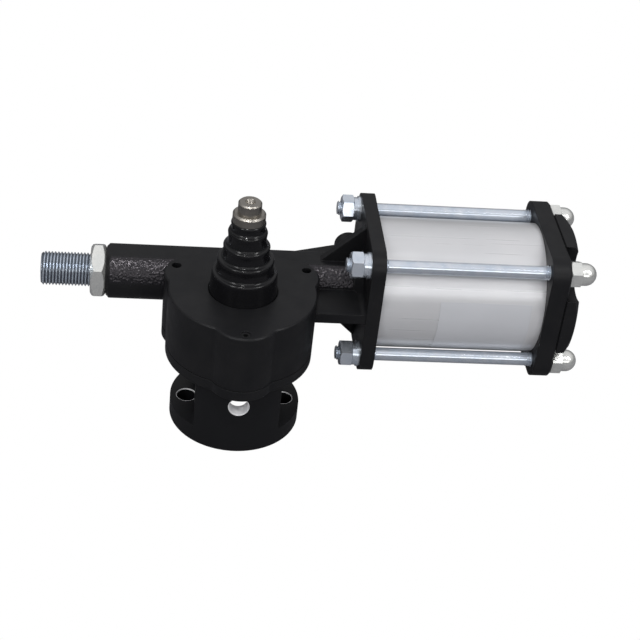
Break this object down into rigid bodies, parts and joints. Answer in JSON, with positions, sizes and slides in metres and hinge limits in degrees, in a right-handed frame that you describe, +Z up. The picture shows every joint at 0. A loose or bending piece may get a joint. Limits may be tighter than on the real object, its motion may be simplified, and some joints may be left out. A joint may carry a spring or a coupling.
{
  "type": "rotary pneumatic actuator",
  "caption": "Rack and pinion swivel actuator: an air cylinder on a lobed gear case turns a stepped upright shaft a quarter turn over a bolting bracket.",
  "frame": {"origin": "centre of the bracket's foot, on the output shaft's axis, in the plane of its bolting face", "axes": "+Z up along the output shaft, +X along the rack towards the air cylinder"},
  "size_m": [0.2906, 0.115, 0.1322],
  "materials": {
    "black_casting": "satin black paint over cast aluminium",
    "gloss_black": "glossy black paint on turned steel",
    "anodised_tube": "satin clear anodised",
    "zinc": "bluish zinc plate",
    "bright_nickel": "bright plated",
    "bare_steel": "turned bare steel",
    "black_screw": "black oxide",
    "bronze": "sintered bronze",
    "rubber": "matt nitrile rubber",
    "guide_plastic": "matt acetal",
    "piston_aluminium": "turned",
    "label_film": "silver film, blank"
  },
  "bodies": {
    "housing": {"gear_housing": "black_casting", "bottom_cover": "black_casting", "cover_gasket": "rubber", "cover_screws": "black_screw", "front_grub_screw": "black_screw", "mounting_bracket": "black_casting", "bracket_screws": "black_screw", "upper_bush": "bronze", "upper_shaft_seal": "rubber", "lower_bush": "bronze", "thrust_washer": "bronze", "rack_bush": "bronze", "rack_guide_pad": "bronze", "rod_bush": "bronze", "rod_seal": "rubber", "cylinder_tube": "anodised_tube", "end_cap": "black_casting", "tube_seals": "rubber", "end_bumpers": "rubber", "tie_rods": "zinc", "tie_rod_nuts": "zinc", "plain_washers": "zinc", "spring_washers": "zinc", "dome_nuts": "bright_nickel", "label_plate": "label_film", "stop_lock_nut": "bright_nickel"},
    "shaft": {"pinion_shaft": "bare_steel", "stepped_sleeve": "gloss_black", "retaining_ring": "black_screw"},
    "rack": {"rack": "bare_steel", "piston": "piston_aluminium", "piston_seals": "rubber", "piston_guide_ring": "guide_plastic", "piston_bolt": "black_screw"},
    "stop_screw": {"stop_screw": "zinc"}
  },
  "joints": [
    {"name": "shaft_turn", "type": "hinge", "parent": "housing", "child": "shaft", "pos_m": [0, 0, 0.066], "axis": [0, 0, 1], "range_deg": [0, 90]},
    {"name": "rack_slide", "type": "slide", "parent": "housing", "child": "rack", "axis": [-1, 0, 0], "range_m": [0, 0.03929]},
    {"name": "stop_adjust", "type": "slide", "parent": "housing", "child": "stop_screw", "axis": [-1, 0, 0], "range_m": [0, 0.008]}
  ],
  "couplings": [
    {"joint": "rack_slide", "follows": "shaft_turn", "m_per_rad": 0.025}
  ]
}
